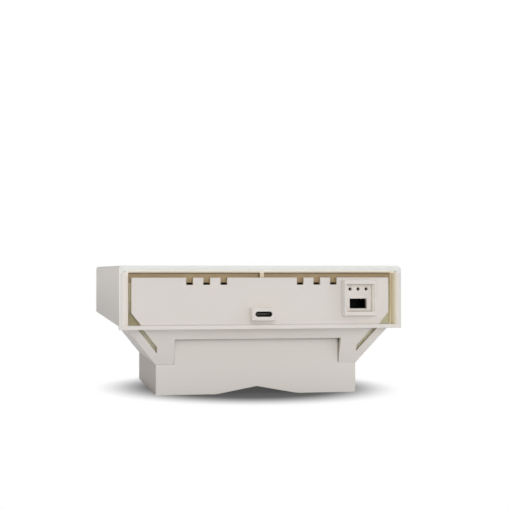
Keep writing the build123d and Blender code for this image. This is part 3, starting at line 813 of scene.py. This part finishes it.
@dataclass
class RowOfParts:
    """Equal small parts in a row, with copies of the whole row turned round a centre."""

    name: str
    count: int
    pitch: float
    centre: Point
    out: float = 0.0
    turns: int = 1
    axis: Point = (0.0, 0.0, 1.0)

    def build(self, part: bpy.types.Mesh, material: bpy.types.Material) -> bpy.types.Object:
        """Makes the row, along X and out from the centre in Y.

        Args:
            part: The mesh of one part.
            material: The finish of the row.

        Returns:
            The row as one piece.
        """
        tree = NodeTree(self.name)
        first = (-(self.count - 1) / 2 * self.pitch, self.out, 0.0)
        line = tree.node("GeometryNodeMeshLine", {"mode": "OFFSET"}, {
            "Count": tree.size("Count", self.count), "Start Location": tree.size("First", first),
            "Offset": tree.size("Step", (self.pitch, 0.0, 0.0))})
        row = tree.node("GeometryNodeInstanceOnPoints", None, {
            "Points": line.outputs[0], "Instance": tree.start.outputs["Geometry"]})
        hubs = tree.node("GeometryNodeMeshLine", {"mode": "OFFSET"}, {
            "Count": tree.size("Turns", self.turns), "Start Location": tree.size("Centre", self.centre),
            "Offset": (0.0, 0.0, 0.0)})
        index = tree.node("GeometryNodeInputIndex")
        angle = tree.node("ShaderNodeMath", {"operation": "MULTIPLY"}, {
            0: index.outputs[0], 1: math.tau / self.turns})
        turn = tree.node("ShaderNodeVectorMath", {"operation": "SCALE"}, {
            0: tree.size("Axis", self.axis), "Scale": angle.outputs[0]})
        rows = tree.node("GeometryNodeInstanceOnPoints", None, {
            "Points": hubs.outputs[0], "Instance": row.outputs[0], "Rotation": turn.outputs[0]})
        return tree.piece(self.name, rows.outputs[0], part, material)


@dataclass
class InsertThreads:
    """Threads inside the four brass inserts for the clamp bolts."""

    bore: float = 4.5 * MM
    pitch: float = 0.8 * MM
    ridge: float = 0.42 * MM
    end_gap: float = 0.7 * MM
    spacing: Pair = (70 * MM, 60 * MM)
    steps_per_turn: int = 20
    sides: int = 4

    def build(self, palette: Palette) -> None:
        """Winds one ridge and repeats it at the four places.

        Args:
            palette: The finishes.
        """
        low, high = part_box("threaded_inserts")
        height = high.z - low.z - 2 * self.end_gap
        middle = (low + high) / 2
        tree = NodeTree("insert_threads")
        radius = tree.size("Radius", self.bore / 2)
        helix = tree.node("GeometryNodeCurveSpiral", None, {
            "Resolution": self.steps_per_turn, "Rotations": tree.size("Rotations", height / self.pitch),
            "Start Radius": radius, "End Radius": radius, "Height": tree.size("Height", height)})
        profile = tree.node("GeometryNodeCurvePrimitiveCircle", {"mode": "RADIUS"}, {
            "Resolution": self.sides, "Radius": tree.size("Ridge", self.ridge / 2)})
        thread = tree.node("GeometryNodeCurveToMesh", None, {
            "Curve": helix.outputs[0], "Profile Curve": profile.outputs[0], "Fill Caps": True})
        grid = tree.node("GeometryNodeMeshGrid", None, {
            "Size X": tree.size("Spacing X", self.spacing[0]), "Size Y": tree.size("Spacing Y", self.spacing[1]),
            "Vertices X": 2, "Vertices Y": 2})
        moved = tree.node("GeometryNodeTransform", None, {
            "Geometry": grid.outputs[0],
            "Translation": tree.size("Middle", (middle.x, middle.y, low.z + self.end_gap))})
        four = tree.node("GeometryNodeInstanceOnPoints", None, {
            "Points": moved.outputs[0], "Instance": thread.outputs[0]})
        piece = tree.piece("insert_threads", four.outputs[0], bpy.data.meshes.new("blank"),
                           palette.materials[Slot.BRASS])
        settle(piece)


@dataclass
class SocketContacts:
    """Gold contact strips on both faces of the USB socket's tongue."""

    count: int = 12
    pitch: float = 0.5 * MM
    width: float = 0.26 * MM
    length: float = 4.2 * MM
    proud: float = 0.03 * MM
    tongue_recess: float = 0.5 * MM
    half_tongue: float = 0.35 * MM

    def build(self) -> None:
        """Lays one row on the tongue's top and turns it round for the underside."""
        low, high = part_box("usb_tongue")
        line = [(self.tongue_recess, self.half_tongue), (self.tongue_recess + self.length, self.half_tongue)]
        strip = Shapes.strip("contact_strip", line, self.width, 2 * self.proud)
        row = RowOfParts("usb_contacts", self.count, self.pitch, (0.0, low.y, (low.z + high.z) / 2),
                         turns=2, axis=Axis.ALONG.value)
        settle(row.build(strip, Metal("contact_gold", MetalKind.GOLD).build()))


@dataclass
class ChipLeads:
    """Bent leads on the four sides of the processor."""

    per_side: int = 16
    pitch: float = 0.5 * MM
    width: float = 0.24 * MM
    thickness: float = 0.14 * MM
    reach: float = 1.0 * MM
    foot: float = 0.6 * MM
    root_share: float = 0.5
    bend_shares: Pair = (0.25, 0.4)
    foot_shares: Pair = (0.6, 0.4)

    def build(self, palette: Palette) -> None:
        """Bends one lead and sets it in a row on each side of the chip.

        Args:
            palette: The finishes.
        """
        low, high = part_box("processor_chip")
        middle = (low + high) / 2
        root = (high.z - low.z) * self.root_share
        flat = self.thickness / 2
        line = [(0.0, root),
                (self.bend_shares[0] * self.reach, root),
                (self.bend_shares[1] * self.reach, root - self.thickness),
                (self.reach - self.foot * self.foot_shares[0], self.thickness),
                (self.reach - self.foot * self.foot_shares[1], flat),
                (self.reach, flat)]
        lead = Shapes.strip("chip_lead", line, self.width, self.thickness)
        row = RowOfParts("processor_leads", self.per_side, self.pitch, (middle.x, middle.y, low.z),
                         out=(high.y - low.y) / 2, turns=4)
        settle(row.build(lead, palette.materials[Slot.PLATED]))


@dataclass
class HeaderPins:
    """Square pins that join a header to what it carries."""

    name: str
    header: str
    count: int
    pitch: float = 2.54 * MM
    width: float = 0.6 * MM
    above: float = 1.2 * MM
    below: float = 2.4 * MM
    taper: float = 0.15 * MM

    def build(self, palette: Palette) -> None:
        """Stands the pins in a row along the header.

        Args:
            palette: The finishes.
        """
        low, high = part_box(self.header)
        middle = (low + high) / 2
        pin = Shapes.peg(self.name + "_pin", self.width, -self.below, high.z - low.z + self.above, self.taper)
        row = RowOfParts(self.name, self.count, self.pitch, (middle.x, middle.y, low.z))
        settle(row.build(pin, palette.materials[Slot.PLATED]))


@dataclass
class OuterShells:
    """Sun shield, back shell, saddle and front panel, with painted warm shade in their gaps."""

    # Colours of the shells, the painted light and shade of their zones, and the painted glow that stands in for
    # light thrown back into narrow gaps.
    plastic: Colour = linear(217, 212, 207)
    panel: Colour = linear(215, 209, 204)
    face: Colour = linear(222, 216, 211)
    # Painted warm shade on the walls inside the shield and on the panel's edges and notch walls.
    shade: Colour = linear(208, 190, 152)
    # Painted highlight on the front rim's top edge.
    painted_top_highlight: Colour = linear(223, 223, 220)
    # Painted light on the bevel at the left of the panel.
    painted_left_bevel_light: Colour = linear(232, 225, 219)
    # Painted warm light on the bevel at the right of the panel.
    painted_warm_bevel_light: Colour = linear(232, 225, 209)
    # Painted shade at the deep end of the right bevel, next to the panel.
    painted_deep_bevel_shade: Colour = linear(195, 179, 142)
    # Painted light on the top of the left side, fading towards the bottom.
    painted_upper_side_light: Colour = linear(245, 239, 233)
    # Painted light on the shield's inner wall in the groove at the right of the panel.
    painted_groove_wall_light: Colour = linear(236, 226, 200)
    # Painted glow on that groove wall, as emission.
    painted_groove_glow: Colour = linear(108, 102, 86)
    # Painted glow on the small bevel under the rim's top, as emission.
    painted_top_bevel_glow: Colour = linear(94, 90, 80)
    # Painted light on that small bevel.
    painted_top_bevel_light: Colour = linear(248, 243, 232)
    # Painted glow on the panel's foot beside the pad, as emission.
    painted_foot_glow: Colour = linear(66, 65, 63)
    # Painted glow on the window's wall, as emission.
    painted_window_glow: Colour = linear(110, 111, 107)
    # Painted shade on the floors of the back shell's slits.
    painted_slit_shade: Colour = linear(199, 196, 172)
    # Painted shade on the saddle's sides, under the shield.
    painted_saddle_shade: Colour = linear(204, 196, 189)
    # Painted light on the walls of the square frame and the pad.
    painted_frame_wall_light: Colour = linear(242, 237, 230)
    # Sizes of the shield's walls and front rim, and of the zones beside the panel.
    wall: float = 2.6 * MM
    rim_chamfer: float = 2.7 * MM
    rim_side: float = 4.6 * MM
    rim_top: float = 3.2 * MM
    rim_edge: float = 1.0 * MM
    rim_skin: float = 0.02 * MM
    bar_top: float = 2.0 * MM
    bevel_width: float = 2.4 * MM
    top_bevel: Pair = (3.5 * MM, 2.4 * MM)
    bevel_past: float = 1.0 * MM
    side_share: float = 0.05
    groove_width: float = 0.4 * MM
    groove_lead: float = 0.3 * MM
    groove_depth: float = 8.0 * MM
    # Sizes of the back shell's trough.
    skin: float = 1.1 * MM
    trough_height: float = 18.0 * MM
    trough_setback: float = 8.0 * MM
    flare_inset: float = 1.4 * MM
    # Sizes of the panel, its pad and its window.
    panel_thickness: float = 3.0 * MM
    panel_skin: float = 0.5 * MM
    pad_half: float = 5.9 * MM
    pad_margin: float = 0.5 * MM
    foot_height: float = 0.3 * MM
    foot_fade: float = 1.8 * MM
    window_margin: float = 0.2 * MM
    window_wall: float = 0.3 * MM

    def shield_tints(self) -> tuple[Tint, ...]:
        """Painted warm shade on the walls inside the shield and at the deep end of the right bevel, and painted
        light on the bevels beside the panel, the top edge and its bevel, the upper side and the groove wall.

        Returns:
            The tints, each laid over the ones before it.
        """
        low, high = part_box("sun_shield")
        back, floor, roof = low.y + self.rim_chamfer, low.z + self.bar_top, high.z - self.rim_top
        left_edge, right_edge = low.x + self.rim_side, high.x - self.rim_side
        inside = Zone.box((low.x + self.wall, back, floor),
                          (high.x - self.wall, high.y - self.wall, high.z - self.wall))
        left = Zone.box((left_edge - self.bevel_width, low.y + HAIR, floor), (left_edge, back, roof))
        right = Zone.box((right_edge, low.y + HAIR, floor), (right_edge + self.bevel_width, back, roof))
        deep = Zone((Axis.ACROSS.under(right_edge, self.bevel_width + FINE_BLUR), *right.sides[1:]))
        top = Zone((Axis.UP.over(roof), Axis.ALONG.under(low.y + self.rim_edge)))
        height = high.z - low.z
        side = Zone((Axis.ACROSS.under(low.x + HAIR),
                     Axis.UP.over(high.z - self.side_share * height, (1 - self.side_share) * height)))
        return (Tint(inside, self.shade), Tint(left, self.painted_left_bevel_light),
                Tint(right, self.painted_warm_bevel_light), Tint(deep, self.painted_deep_bevel_shade),
                Tint(top, self.painted_top_highlight), Tint(self.top_bevel_zone(), self.painted_top_bevel_light),
                Tint(side, self.painted_upper_side_light), Tint(self.groove_zone(), self.painted_groove_wall_light))

    def top_bevel_zone(self) -> Zone:
        """The small bevel under the front rim's top, which takes painted light and a painted glow.

        Returns:
            The zone.
        """
        low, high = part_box("sun_shield")
        reach = self.rim_side - self.bevel_past
        return Zone.box(
            (low.x + reach, low.y + self.rim_skin, high.z - self.top_bevel[0]),
            (high.x - reach, low.y + self.rim_chamfer, high.z - self.top_bevel[1]), HAIR)

    def groove_zone(self) -> Zone:
        """The shield's inner wall in the narrow groove at the right of the panel, which takes painted light and a
        painted glow.

        Returns:
            The zone.
        """
        low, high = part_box("sun_shield")
        edge = high.x - self.rim_side
        return Zone((Axis.ACROSS.over(edge - self.groove_width), Axis.ACROSS.under(edge, FINE_BLUR),
                     Axis.ALONG.over(low.y + self.rim_chamfer - self.groove_lead),
                     Axis.ALONG.under(low.y + self.groove_depth),
                     Axis.UP.under(high.z - self.top_bevel[0], FINE_BLUR),
                     Axis.UP.over(low.z + self.bar_top, FINE_BLUR)))

    def shell_zone(self) -> Zone:
        """What lies behind the skin of the back shell's trough, such as the floors of its slits, which takes
        painted shade.

        Returns:
            The zone.
        """
        low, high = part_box("back_shell")
        foot_low, foot_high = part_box("pole_saddle")
        top = low.z + self.trough_height
        front = foot_low.y - self.trough_setback
        slope = (0.0, -self.trough_height, front - foot_low.y)
        half_top = high.x - self.flare_inset
        rise = half_top - foot_high.x
        sides = [Side.through((0.0, front, top), slope, self.skin),
                 Axis.ALONG.under(foot_high.y - self.skin), Axis.UP.over(low.z + self.skin)]
        for way in (-1, 1):
            flare = (way * self.trough_height, 0.0, -rise)
            sides.append(Side.through((way * half_top, 0.0, top), flare, self.skin))
        return Zone(tuple(sides))

    def panel_face(self) -> float:
        """Where the panel's flat face lies along Y, in front of the tray."""
        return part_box("case_tray")[0].y - self.panel_thickness

    def panel_zone(self) -> Zone:
        """The panel's thickness behind its front skin: its edges and the walls of its notches, which take painted
        warm shade.
        """
        return Zone((Axis.ALONG.over(self.panel_face() + self.panel_skin),))

    def raised_zone(self) -> Zone:
        """The walls of the square frame and of the pad, in front of the panel's face, which take painted light.
        """
        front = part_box("front_panel")[0].y
        return Zone((Axis.ALONG.under(self.panel_face() - HAIR, HAIR),
                     Axis.ALONG.over(front + self.panel_skin, FINE_BLUR)))

    def panel_glows(self) -> tuple[Tint, ...]:
        """Painted glow that stands in for light thrown back on the panel: in the window, and on its foot on both
        sides of the pad.

        Returns:
            The tints of the painted glow.
        """
        panel_low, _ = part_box("front_panel")
        low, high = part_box("module_face")
        window = Zone.box(
            (high.x - HAIR, panel_low.y + self.window_wall, low.z - self.window_margin),
            (high.x + self.window_wall, low.y, high.z + self.window_margin), HAIR)
        foot = (Axis.UP.under(panel_low.z + self.foot_height, self.foot_fade),
                Axis.ALONG.under(self.panel_face() + HAIR))
        beside = self.pad_half + self.pad_margin
        return (Tint(window, self.painted_window_glow),
                Tint(Zone((*foot, Axis.ACROSS.over(beside))), self.painted_foot_glow),
                Tint(Zone((*foot, Axis.ACROSS.under(-beside))), self.painted_foot_glow))

    def saddle_sides(self) -> tuple[Tint, ...]:
        """Painted shade: a slightly darker tone on the saddle's two sides, under the shield.

        Returns:
            The tints of the left and the right side.
        """
        low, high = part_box("pole_saddle")
        return (Tint(Zone((Axis.ACROSS.under(low.x + HAIR),)), self.painted_saddle_shade),
                Tint(Zone((Axis.ACROSS.over(high.x - HAIR),)), self.painted_saddle_shade))

    def build(self, palette: Palette) -> None:
        """Dresses the shells and the panel.

        Args:
            palette: The finishes.
        """
        # Every tint and glow on these pieces is painted light, shade or glow.
        palette.dress("sun_shield", Slot.SHELL, MouldedPlastic(
            "shield_plastic", self.plastic, self.shield_tints(),
            (Tint(self.groove_zone(), self.painted_groove_glow), Tint(self.top_bevel_zone(), self.painted_top_bevel_glow))))
        palette.dress("back_shell", Slot.SHELL, MouldedPlastic(
            "back_plastic", self.plastic, (Tint(self.shell_zone(), self.painted_slit_shade),)))
        palette.dress("pole_saddle", Slot.SHELL, MouldedPlastic(
            "saddle_plastic", self.plastic, self.saddle_sides()))
        palette.dress("front_panel", Slot.PANEL, MouldedPlastic(
            "panel_plastic", self.panel,
            (Tint(self.panel_zone(), self.shade), Tint(self.raised_zone(), self.painted_frame_wall_light)), self.panel_glows()))
        palette.dress("module_face", Slot.PANEL, MouldedPlastic("face_plastic", self.face))


@dataclass
class InnerHousing:
    """Tray and lid behind the panel, in a warm tan that is painted shade where they show in the gaps; the lid is
    darker still.
    """

    # Painted shade: the warm tans of the lid and tray stand in for the shade in the gaps.
    lid: Colour = linear(171, 151, 118)
    tray: Colour = linear(193, 188, 159)
    # Painted shade for the lower left corner and painted light for the left edge.
    painted_corner_shade: Colour = linear(163, 153, 121)
    painted_edge_light: Colour = linear(211, 204, 170)
    corner_width: float = 13 * MM
    corner_height: float = 12 * MM
    corner_share: float = 0.4
    edge_width: float = 2.5 * MM

    def tray_tints(self) -> tuple[Tint, ...]:
        """Painted light on the tray's left edge and painted shade in its lower left corner, as they show round
        the panel.

        Returns:
            The tints of the edge and the corner.
        """
        low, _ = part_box("case_tray")
        fade = self.corner_share * self.corner_height
        edge = Zone((Axis.ACROSS.under(low.x + self.edge_width), Axis.UP.over(low.z + self.corner_height)))
        corner = Zone((Axis.ACROSS.under(low.x + self.corner_width), Axis.UP.under(low.z + fade, fade)))
        return (Tint(edge, self.painted_edge_light), Tint(corner, self.painted_corner_shade))

    def build(self, palette: Palette) -> None:
        """Dresses the tray and the lid."""
        palette.dress("case_tray", Slot.CASE, MouldedPlastic("tray_plastic", self.tray, self.tray_tints()))
        palette.dress("case_lid", Slot.CASE, MouldedPlastic("lid_plastic", self.lid))


@dataclass
class Electronics:
    """Boards, chips, metal cans and the sampling module, with their leads and pins."""

    boards: tuple[str, ...] = ("main_board", "sensor_board", "radio_module")
    resins: tuple[str, ...] = ("processor_chip", "voltage_regulator", "power_inductor", "module_header",
                               "sensor_header", "temperature_element")
    plated: tuple[str, ...] = ("radio_can", "antenna")
    module_wall: float = 1.0 * MM
    socket_rim: float = 0.25 * MM
    socket_lead: float = 1.0 * MM
    tongue: Colour = linear(16, 15, 14)
    pins: int = 4

    def module_pocket(self) -> Zone:
        """The inside of the sampling module, as its duct and port show it, painted near black as shade.

        Returns:
            The zone.
        """
        low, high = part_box("sampling_module")
        wall = self.module_wall
        return Zone.box((low.x + wall, low.y + HAIR, low.z + wall),
                        (high.x - wall, high.y - wall, high.z - wall))

    def socket_mouth(self) -> Zone:
        """The inside of the USB socket's shell, painted near black as shade.

        Returns:
            The zone.
        """
        low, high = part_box("usb_socket")
        rim = self.socket_rim
        return Zone.box((low.x + rim, low.y - self.socket_lead, low.z + rim),
                        (high.x - rim, high.y, high.z - rim), HAIR)

    def build(self, palette: Palette) -> None:
        """Dresses the inner parts and adds the small repeated ones.

        Args:
            palette: The finishes.
        """
        for nodes, slot in ((self.boards, Slot.BOARD), (self.resins, Slot.CHIP), (self.plated, Slot.PLATED)):
            for node in nodes:
                palette.dress(node, slot)
        palette.dress("storage_capacitors", Slot.CAN)
        palette.dress("sampling_module", Slot.MODULE, Metal(
            "module_metal", MetalKind.STEEL, (self.module_pocket(),)))
        palette.dress("usb_socket", Slot.PLATED, Metal("socket_metal", MetalKind.TIN, (self.socket_mouth(),)))
        palette.dress("usb_tongue", Slot.CHIP, ChipResin("tongue_resin", self.tongue, worn=self.tongue))
        SocketContacts().build()
        ChipLeads().build(palette)
        for name, header in (("module_pins", "module_header"), ("sensor_pins", "sensor_header")):
            HeaderPins(name, header, self.pins).build(palette)


@dataclass
class Fasteners:
    """Screws and the threaded inserts."""

    screws: tuple[str, ...] = ("board_screws", "lid_screws", "case_screws", "shield_screws", "saddle_screws")

    def build(self, palette: Palette) -> None:
        """Dresses the screws and inserts, and adds the threads.

        Args:
            palette: The finishes.
        """
        for node in self.screws:
            palette.dress(node, Slot.SCREW)
        palette.dress("threaded_inserts", Slot.BRASS)
        InsertThreads().build(palette)


@dataclass(frozen=True)
class Lamp:
    """A square soft lamp. Its level is the share of full light that it gives at what it points to."""

    name: str
    place: Point
    side: float
    level: float
    colour: Colour = WHITE

    def build(self, aim: Vector) -> None:
        """Hangs the lamp and points it at the aim.

        Args:
            aim: The place that it points to.
        """
        data = bpy.data.lights.new(self.name, "AREA")
        data.shape = "SQUARE"
        data.size = self.side
        data.color = self.colour
        where = Vector(self.place)
        reach = (where - aim).length
        data.energy = self.level * math.pi ** 2 * reach ** 2
        lamp = show(bpy.data.objects.new(self.name, data))
        lamp.location = where
        lamp.rotation_euler = (aim - where).to_track_quat("-Z", "Y").to_euler()


@dataclass
class Studio:
    """Floor, lamps, even surrounding light and the camera."""

    floor_side: float = 30.0
    # Place and spread of the floor's painted shadow ellipse, from the saddle's foot.
    shadow_shift: Pair = (0.8 * MM, -10.5 * MM)
    shadow_spread: Pair = (31 * MM, 50 * MM)
    ambient: float = 0.36
    lamps: tuple[Lamp, ...] = (
        Lamp("front", (0.1, -1.7, 0.3), 1.0, 0.22),
        Lamp("low_front", (0.0, -1.8, 0.1), 0.9, 0.238),
        Lamp("top", (0.1, 0.1, 1.4), 1.2, 0.405),
        Lamp("right", (1.3, -0.9, 0.45), 0.7, 0.14),
        Lamp("left_top", (-0.8, -0.5, 1.5), 0.8, 0.137),
    )
    camera_place: Point = (-109.9 * MM, -697.35 * MM, 61.9 * MM)
    camera_turn: Pair = (90.7, -10.205)
    lens: float = 86.54
    sensor: float = 36.0
    nearest: float = 10 * MM
    farthest: float = 100.0

    def build(self) -> None:
        """Makes the whole studio."""
        self.make_floor()
        self.make_world()
        low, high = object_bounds()
        for lamp in self.lamps:
            lamp.build((low + high) / 2)
        self.make_camera()
        bpy.context.scene.view_settings.view_transform = "Standard"

    def make_floor(self) -> None:
        """Lays the floor under the sensor's feet, with its painted shadow round the saddle."""
        half = self.floor_side / 2
        corners = [(-half, -half, 0.0), (half, -half, 0.0), (half, half, 0.0), (-half, half, 0.0)]
        mesh = Shapes.mesh("floor", corners, [(0, 1, 2, 3)])
        low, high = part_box("pole_saddle")
        middle, foot = (low + high) / 2, (high - low) / 2
        mesh.materials.append(StudioFloor(
            (middle.x + self.shadow_shift[0], middle.y + self.shadow_shift[1]),
            (foot.x + self.shadow_spread[0], foot.y + self.shadow_spread[1])).build())
        show(bpy.data.objects.new("floor", mesh))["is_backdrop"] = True

    def make_world(self) -> None:
        """Lights the sensor evenly from all round, with plain white behind it."""
        world = bpy.data.worlds.new("studio")
        bpy.context.scene.world = world
        graph = Graph(world)
        rays = graph.node("ShaderNodeLightPath").outputs
        seen = graph.largest(rays["Is Camera Ray"], rays["Is Transmission Ray"])
        strength = graph.node("ShaderNodeMapRange", None, {"Value": seen, "To Min": self.ambient, "To Max": 1.0})
        sky = graph.node("ShaderNodeBackground", None, {
            "Color": opaque(WHITE), "Strength": strength.outputs["Result"]})
        graph.node("ShaderNodeOutputWorld", None, {"Surface": sky.outputs[0]})

    def make_camera(self) -> None:
        """Sets the camera at the photograph's place."""
        data = bpy.data.cameras.new("camera")
        data.lens = self.lens
        data.sensor_width = self.sensor
        data.clip_start = self.nearest
        data.clip_end = self.farthest
        camera = show(bpy.data.objects.new("camera", data))
        camera.location = self.camera_place
        camera.rotation_euler = (math.radians(self.camera_turn[0]), 0.0, math.radians(self.camera_turn[1]))
        bpy.context.scene.camera = camera


def make_palette() -> Palette:
    """Makes the finish of each material slot.

    Returns:
        The palette.
    """
    cream = linear(217, 212, 207)
    # The case slot's warm tan is painted shade, as in the gaps.
    warm = linear(208, 190, 152)
    return Palette({
        Slot.SHELL: MouldedPlastic("shell_plastic", cream),
        Slot.PANEL: MouldedPlastic("plain_panel_plastic", cream),
        Slot.CASE: MouldedPlastic("case_plastic", warm),
        Slot.BOARD: SolderResist("solder_resist"),
        Slot.CHIP: ChipResin("chip_resin"),
        Slot.PLATED: Metal("tin_plate", MetalKind.TIN),
        Slot.CAN: Metal("capacitor_can", MetalKind.ALUMINIUM),
        Slot.MODULE: Metal("plain_module_metal", MetalKind.STEEL),
        Slot.BRASS: Metal("brass", MetalKind.BRASS),
        Slot.SCREW: Metal("screw_metal", MetalKind.SCREW),
    })


def main() -> None:
    """Builds the finishes, the sub-assemblies and the studio, in that order."""
    logging.basicConfig(level=logging.INFO, format="%(name)s %(message)s")
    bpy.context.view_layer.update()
    palette = make_palette()
    for assembly in (OuterShells(), InnerHousing(), Electronics(), Fasteners()):
        assembly.build(palette)
    Studio().build()


if __name__ == "__main__":
    main()
